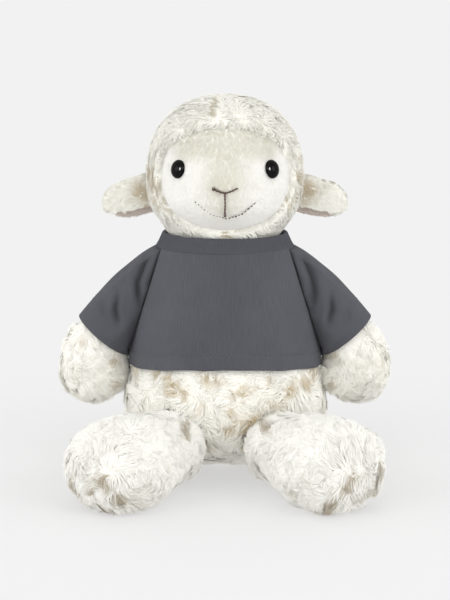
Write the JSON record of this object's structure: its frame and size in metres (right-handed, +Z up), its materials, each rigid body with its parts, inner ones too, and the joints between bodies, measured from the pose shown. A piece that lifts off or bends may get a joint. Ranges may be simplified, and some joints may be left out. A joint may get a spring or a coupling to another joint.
{
  "type": "plush sheep",
  "caption": "Seated stuffed sheep toy in a short-sleeved raglan T-shirt; head turns, ears and tail lift, arms and legs swing at their seams.",
  "frame": {"origin": "middle of the footprint's bounding box, on the surface that the sheep sits on", "axes": "+Z up, the face looks along -Y, the sheep's own left side is +X"},
  "size_m": [0.1874, 0.1698, 0.2198],
  "materials": {
    "curly_wool": "long cream pile with beige roots, brushed and swirled",
    "short_plush": "short off-white pile",
    "ear_lining": "short taupe pile",
    "charcoal_jersey": "matt cotton jersey with a fine rib",
    "brown_thread": "embroidery thread",
    "black_eye": "polished black",
    "washer_plastic": "plain moulded",
    "polyester_fibre": "loose fibre filling",
    "pellet_cloth": "thin woven bag holding pellets"
  },
  "bodies": {
    "torso": {"body_skin": "curly_wool", "body_stuffing": "polyester_fibre", "pellet_bag": "pellet_cloth", "shirt_front": "charcoal_jersey", "shirt_back": "charcoal_jersey", "neckband": "charcoal_jersey"},
    "head": {"head_wool": "curly_wool", "face_panel": "short_plush", "head_stuffing": "polyester_fibre", "eye_left": "black_eye", "eye_right": "black_eye", "eye_washer_left": "washer_plastic", "eye_washer_right": "washer_plastic", "nose_stitching": "brown_thread", "lip_stitching": "brown_thread", "mouth_stitching": "brown_thread"},
    "ear_left": {"ear_left_outer": "curly_wool", "ear_left_lining": "ear_lining"},
    "ear_right": {"ear_right_outer": "curly_wool", "ear_right_lining": "ear_lining"},
    "arm_left": {"arm_left_skin": "curly_wool", "arm_left_stuffing": "polyester_fibre", "sleeve_left": "charcoal_jersey"},
    "arm_right": {"arm_right_skin": "curly_wool", "arm_right_stuffing": "polyester_fibre", "sleeve_right": "charcoal_jersey"},
    "leg_left": {"leg_left_skin": "curly_wool", "leg_left_stuffing": "polyester_fibre"},
    "leg_right": {"leg_right_skin": "curly_wool", "leg_right_stuffing": "polyester_fibre"},
    "tail": {"tail": "curly_wool"}
  },
  "joints": [
    {"name": "head_turn", "type": "hinge", "parent": "torso", "child": "head", "pos_m": [0, 0.0223, 0.13], "axis": [0, 0, 1], "range_deg": [-60, 60], "stiffness_Nm_per_rad": 0.12},
    {"name": "ear_left_flop", "type": "hinge", "parent": "head", "child": "ear_left", "pos_m": [0.04285, 0.0243, 0.1745], "axis": [0, -1, 0], "range_deg": [0, 45], "stiffness_Nm_per_rad": 0.004},
    {"name": "ear_right_flop", "type": "hinge", "parent": "head", "child": "ear_right", "pos_m": [-0.04285, 0.0243, 0.1745], "axis": [0, 1, 0], "range_deg": [0, 45], "stiffness_Nm_per_rad": 0.004},
    {"name": "arm_left_swing", "type": "hinge", "parent": "torso", "child": "arm_left", "pos_m": [0.03664, 0.0223, 0.116], "axis": [0, -1, 0], "range_deg": [0, 60], "stiffness_Nm_per_rad": 0.04, "deforming": ["sleeve_left"]},
    {"name": "arm_right_swing", "type": "hinge", "parent": "torso", "child": "arm_right", "pos_m": [-0.03664, 0.0223, 0.116], "axis": [0, 1, 0], "range_deg": [0, 60], "stiffness_Nm_per_rad": 0.04, "deforming": ["sleeve_right"]},
    {"name": "leg_left_swing", "type": "hinge", "parent": "torso", "child": "leg_left", "pos_m": [0.03101, -0.02018, 0.0228], "axis": [-0.8387, -0.5446, 0], "range_deg": [-35, 25], "stiffness_Nm_per_rad": 0.15},
    {"name": "leg_right_swing", "type": "hinge", "parent": "torso", "child": "leg_right", "pos_m": [-0.03101, -0.02018, 0.0228], "axis": [-0.8387, 0.5446, 0], "range_deg": [-35, 25], "stiffness_Nm_per_rad": 0.15},
    {"name": "tail_lift", "type": "hinge", "parent": "torso", "child": "tail", "pos_m": [0, 0.06454, 0.053], "axis": [1, 0, 0], "range_deg": [0, 50], "stiffness_Nm_per_rad": 0.003}
  ]
}
